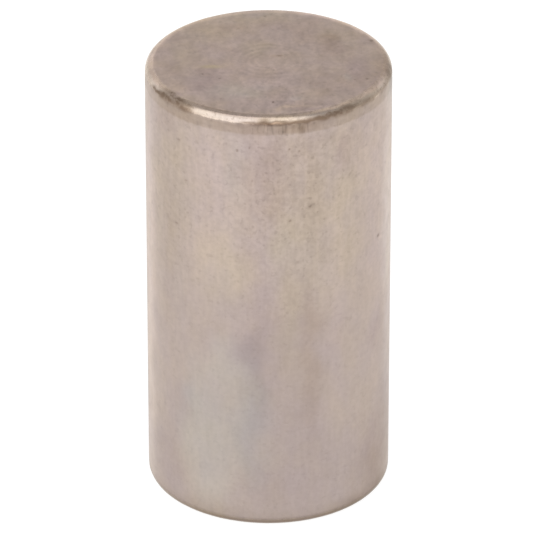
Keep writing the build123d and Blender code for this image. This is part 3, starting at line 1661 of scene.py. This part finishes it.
    def _foot_fade_and_lower_shade(self, place: Place) -> np.ndarray:
        """Turns the foot cooler and darker, and darkens the lower end with painted shade where it mirrors
        the floor's contact shadow.

        Args:
            place: where the vertices lie, drifting as broad marks do.

        Returns:
            Factors on the colour, one row per vertex.
        """
        strayed = place.height + place.drift[1] * self.foot_stray
        factors = self.foot_fade.factors(strayed)
        for fade in self.lower_fades:
            factors *= fade.factors(place.way, ~place.upper)
        return factors


# ---------------------------------------------------------------------------
# Studio


@dataclass(frozen=True)
class PaleFloor:
    """A wide pale floor that keeps the pin's shadow.

    Attributes:
        size: length of its side.
        colour: its own colour, which the light falls on.
        lift: what it gives to the camera and to reflections besides.
    """

    size: float = 6.0
    colour: Colour = (0.30, 0.30, 0.30)
    lift: float = 0.88

    def build(self) -> bpy.types.Object:
        """Makes the floor.

        Returns:
            The floor's object.
        """
        half = self.size / 2
        mesh = bpy.data.meshes.new("floor")
        corners = [(-half, -half, 0), (half, -half, 0), (half, half, 0), (-half, half, 0)]
        mesh.from_pydata(corners, [], [(0, 1, 2, 3)])
        made = bpy.data.materials.new("pale_floor")
        made.use_nodes = True
        bench = Bench(made.node_tree)
        rays = bench.add("LightPath").outputs
        seen = bench.reckon("MAXIMUM", rays["Is Camera Ray"], rays["Is Glossy Ray"])
        seen = bench.reckon("MAXIMUM", seen, rays["Is Transmission Ray"])
        matt = bench.add("BsdfDiffuse", Color=self.colour)
        glow = bench.add("Emission", Strength=bench.reckon("MULTIPLY", seen, self.lift))
        both = bench.add("AddShader")
        bench.feed(both.inputs[0], matt.outputs[0])
        bench.feed(both.inputs[1], glow.outputs[0])
        bench.add("OutputMaterial", Surface=both.outputs[0])
        mesh.materials.append(made)
        floor = bpy.data.objects.new("floor", mesh)
        bpy.context.scene.collection.objects.link(floor)
        return floor


@dataclass(frozen=True)
class Room:
    """The plain room round the pin, as the world's light.

    Attributes:
        backdrop: its brightness low down, where it is white all round.
        left: its brightness higher up on the left.
        right: its brightness higher up on the right.
        ceiling: its brightness overhead.
        sides: where the left ends and the right starts, as X of the direction.
        backdrop_edge: where the backdrop ends, as sines of the elevation.
        ceiling_edge: where the ceiling starts, as sines of the elevation.
    """

    backdrop: float = 1.0
    left: float = 1.0
    right: float = 0.88
    ceiling: float = 0.64
    sides: Span = (-0.8, 0.8)
    backdrop_edge: Span = (0.15, 0.40)
    ceiling_edge: Span = (0.62, 0.85)

    def build(self) -> bpy.types.World:
        """Makes the world.

        Returns:
            The world.
        """
        world = bpy.data.worlds.new("room")
        world.use_nodes = True
        bench = Bench(world.node_tree)
        heading = bench.add("SeparateXYZ", Vector=bench.add("TexCoord").outputs["Generated"]).outputs
        level = bench.ease(heading["X"], *self.sides, self.left, self.right)
        level = bench.ease(heading["Z"], *self.backdrop_edge, self.backdrop, level)
        level = bench.ease(heading["Z"], *self.ceiling_edge, level, self.ceiling)
        light = bench.add("Background", Strength=level)
        bench.add("OutputWorld", Surface=light.outputs[0])
        bpy.context.scene.world = world
        return world


@dataclass(frozen=True)
class Softbox:
    """A long softbox that stands in front of the pin, to its left.

    Attributes:
        left: turn and distance of its left end, from above.
        right: turn and distance of its right end.
        low: height of its lower edge.
        high: height of its upper edge.
        glow: the brightness that its face adds to what lies behind it.
    """

    left: tuple[float, float] = (-84.0, 0.35)
    right: tuple[float, float] = (44.0, 0.26)
    low: float = 0.005
    high: float = 0.60
    glow: float = 0.65

    # The lamp's power for each square metre of a face that glows at 1.
    POWER: ClassVar[float] = 4.0

    def build(self) -> bpy.types.Object:
        """Makes the lamp.

        Returns:
            The lamp's object.
        """
        start, end = (self._from_above(*corner) for corner in (self.left, self.right))
        wide, tall = (end - start).length, self.high - self.low
        lamp = bpy.data.lights.new("softbox", "AREA")
        lamp.shape = "RECTANGLE"
        lamp.size, lamp.size_y = wide, tall
        lamp.energy = self.POWER * self.glow * wide * tall
        holder = bpy.data.objects.new("softbox", lamp)
        across = (end - start).normalized()
        rise = Vector((0, 0, 1))
        turned = Matrix((across, rise, across.cross(rise))).transposed().to_4x4()
        middle = (start + end) / 2 + rise * (self.low + self.high) / 2
        holder.matrix_world = Matrix.Translation(middle) @ turned
        holder.visible_camera = False
        bpy.context.scene.collection.objects.link(holder)
        return holder

    @staticmethod
    def _from_above(turn: float, distance: float) -> Vector:
        """Gives the point on the floor at a turn and a distance from the pin's axis."""
        angle = math.radians(turn)
        return Vector((math.sin(angle), -math.cos(angle), 0)) * distance


@dataclass(frozen=True)
class Camera:
    """A long lens that looks down on the pin.

    Attributes:
        elevation: degrees above the horizon.
        distance: from the middle of the pin.
        lens: focal length in millimetres.
        shift: of the lens, to the right and up, in widths of the frame.
        clip: nearest and farthest distance that it shows.
    """

    elevation: float = 28.47
    distance: float = 547.9 * MM
    lens: float = 409.63
    shift: tuple[float, float] = (-0.0039, 0.0006)
    clip: Span = (0.05, 20.0)

    def build(self, middle: Vector) -> bpy.types.Object:
        """Makes the camera.

        Args:
            middle: the middle of the pin.

        Returns:
            The camera's object.
        """
        data = bpy.data.cameras.new("camera")
        data.lens = self.lens
        data.shift_x, data.shift_y = self.shift
        data.clip_start, data.clip_end = self.clip
        camera = bpy.data.objects.new("camera", data)
        tilt = math.radians(self.elevation)
        back = Vector((0, -math.cos(tilt), math.sin(tilt)))
        camera.location = middle + back * self.distance
        camera.rotation_euler = (-back).to_track_quat("-Z", "Y").to_euler()
        bpy.context.scene.collection.objects.link(camera)
        bpy.context.scene.camera = camera
        return camera


def main() -> None:
    """Builds the pin and its studio in order and reports each piece."""
    logging.basicConfig(level=logging.INFO, format="%(name)s: %(message)s")
    low, high = CAD_BOX
    radius = min(-low.x, high.x, -low.y, high.y)
    pin = CrankPin(PinForm(radius=radius, length=high.z - low.z)).build()
    LOG.info("%s: %d faces", pin.name, len(pin.data.polygons))
    for part in (PaleFloor(), Room(), Softbox()):
        LOG.info("%s", part.build().name)
    LOG.info("%s", Camera().build((low + high) / 2).name)
    bpy.context.scene.view_settings.view_transform = "Standard"


if __name__ == "__main__":
    main()
